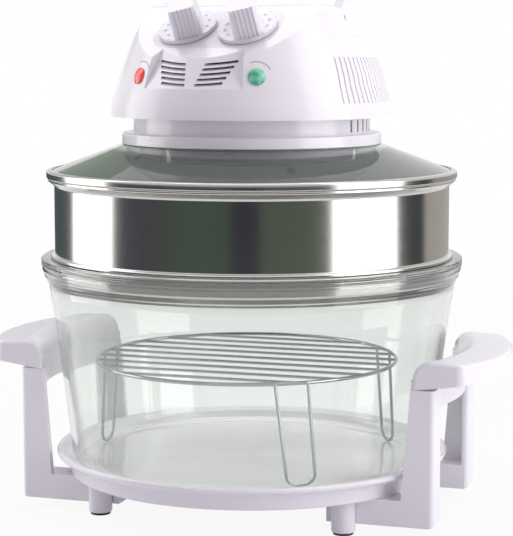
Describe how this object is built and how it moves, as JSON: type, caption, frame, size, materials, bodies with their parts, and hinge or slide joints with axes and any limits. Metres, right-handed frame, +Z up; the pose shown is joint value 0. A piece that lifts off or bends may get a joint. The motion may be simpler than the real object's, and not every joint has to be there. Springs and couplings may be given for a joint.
{
  "type": "halogen oven",
  "caption": "Countertop halogen oven: glass bowl on a white stand with side handles, wire rack, steel extender ring and a lift-off glass lid with a round control head and carry handle.",
  "frame": {"origin": "on the table under the middle of the bowl", "axes": "+X towards the right side handle, the front with the knobs and lamps towards -Y, +Z up"},
  "size_m": [0.425, 0.34, 0.4629],
  "materials": {
    "white_plastic": "glossy white moulding",
    "knob_plastic": "glossy white moulding",
    "panel_plastic": "satin white insert with dial marks",
    "foot_rubber": "matt",
    "bowl_glass": "clear, tempered",
    "lid_glass": "clear, tempered",
    "quartz": "clear quartz",
    "rack_chrome": "bright plated wire",
    "extender_steel": "polished stainless sheet",
    "band_steel": "polished stainless sheet",
    "pan_steel": "bright aluminised sheet",
    "post_aluminium": "satin",
    "screw_steel": "zinc plated",
    "ceramic": "unglazed",
    "insulation": "matt fibre board",
    "fan_aluminium": "pressed sheet",
    "fan_plastic": "matt",
    "motor_steel": "varnished laminations",
    "winding": "enamelled copper wire",
    "bush_brass": "sintered",
    "bracket_steel": "zinc plated",
    "unit_plastic": "matt",
    "terminal_plastic": "matt",
    "gland_plastic": "matt",
    "red_lens": "clear coloured",
    "green_lens": "clear coloured"
  },
  "bodies": {
    "base": {"base_tray": "white_plastic", "tray_legs": "white_plastic", "leg_screws": "screw_steel", "foot_pads": "foot_rubber", "side_handle_right": "white_plastic", "side_handle_left": "white_plastic", "handle_screws": "screw_steel"},
    "bowl": {"glass_bowl": "bowl_glass"},
    "rack": {"wire_rack": "rack_chrome"},
    "extender": {"extender_ring": "extender_steel"},
    "timer_dial": {"timer_knob": "knob_plastic", "timer_spindle": "bracket_steel"},
    "thermostat_dial": {"thermostat_knob": "knob_plastic", "thermostat_spindle": "bracket_steel"},
    "fan": {"convection_fan": "fan_aluminium", "fan_nut": "screw_steel", "motor_shaft": "screw_steel", "motor_rotor": "motor_steel", "cooling_fan": "fan_plastic"},
    "handle": {"carry_handle": "white_plastic", "handle_pins": "screw_steel"},
    "plunger": {"switch_plunger": "unit_plastic"},
    "lid": {"lid_glass": "lid_glass", "lid_rim_band": "band_steel", "reflector_pan": "pan_steel", "spacer_posts": "post_aluminium", "guard_nuts": "screw_steel", "fan_guard": "rack_chrome", "halogen_tube": "quartz", "tube_blocks": "ceramic", "tube_clips": "bracket_steel", "pan_screws": "screw_steel", "insulation_disc": "insulation", "collar_ring": "white_plastic", "neck_housing": "white_plastic", "neck_screws": "screw_steel", "head_base": "white_plastic", "head_shell": "white_plastic", "shell_screws": "screw_steel", "control_panel": "panel_plastic", "timer_unit": "unit_plastic", "thermostat_unit": "unit_plastic", "red_lamp_lens": "red_lens", "green_lamp_lens": "green_lens", "lamp_holders": "unit_plastic", "safety_switch": "unit_plastic", "motor_stator": "motor_steel", "motor_coil": "winding", "motor_bridges": "bracket_steel", "motor_bushes": "bush_brass", "motor_bracket": "bracket_steel", "bracket_screws": "screw_steel", "terminal_block": "terminal_plastic", "thermal_cutout": "fan_aluminium", "cord_gland": "gland_plastic"}
  },
  "joints": [
    {"name": "bowl_lift", "type": "slide", "parent": "base", "child": "bowl", "axis": [0, 0, 1], "range_m": [0, 0.1]},
    {"name": "rack_lift", "type": "slide", "parent": "bowl", "child": "rack", "axis": [0, 0, 1], "range_m": [0, 0.1]},
    {"name": "extender_lift", "type": "slide", "parent": "bowl", "child": "extender", "axis": [0, 0, 1], "range_m": [0, 0.1]},
    {"name": "lid_lift", "type": "slide", "parent": "extender", "child": "lid", "axis": [0, 0, 1], "range_m": [0, 0.1]},
    {"name": "timer_turn", "type": "hinge", "parent": "lid", "child": "timer_dial", "pos_m": [-0.03429, -0.05352, 0.3845], "axis": [0.0783, 0.5241, -0.848], "range_deg": [0, 300]},
    {"name": "thermostat_turn", "type": "hinge", "parent": "lid", "child": "thermostat_dial", "pos_m": [0.01714, -0.06121, 0.3845], "axis": [0.0783, 0.5241, -0.848], "range_deg": [0, 270]},
    {"name": "fan_spin", "type": "hinge", "parent": "lid", "child": "fan", "pos_m": [0, 0, 0.31], "axis": [0, 0, 1], "continuous": true},
    {"name": "handle_fold", "type": "hinge", "parent": "lid", "child": "handle", "pos_m": [0, 0, 0.392], "axis": [-0.989, 0.1478, 0], "range_deg": [-40, 0]},
    {"name": "switch_press", "type": "slide", "parent": "lid", "child": "plunger", "axis": [0, 0, -1], "range_m": [-0.0011, 0]}
  ],
  "couplings": [
    {"joint": "switch_press", "follows": "handle_fold", "m_per_rad": 0.0015}
  ]
}
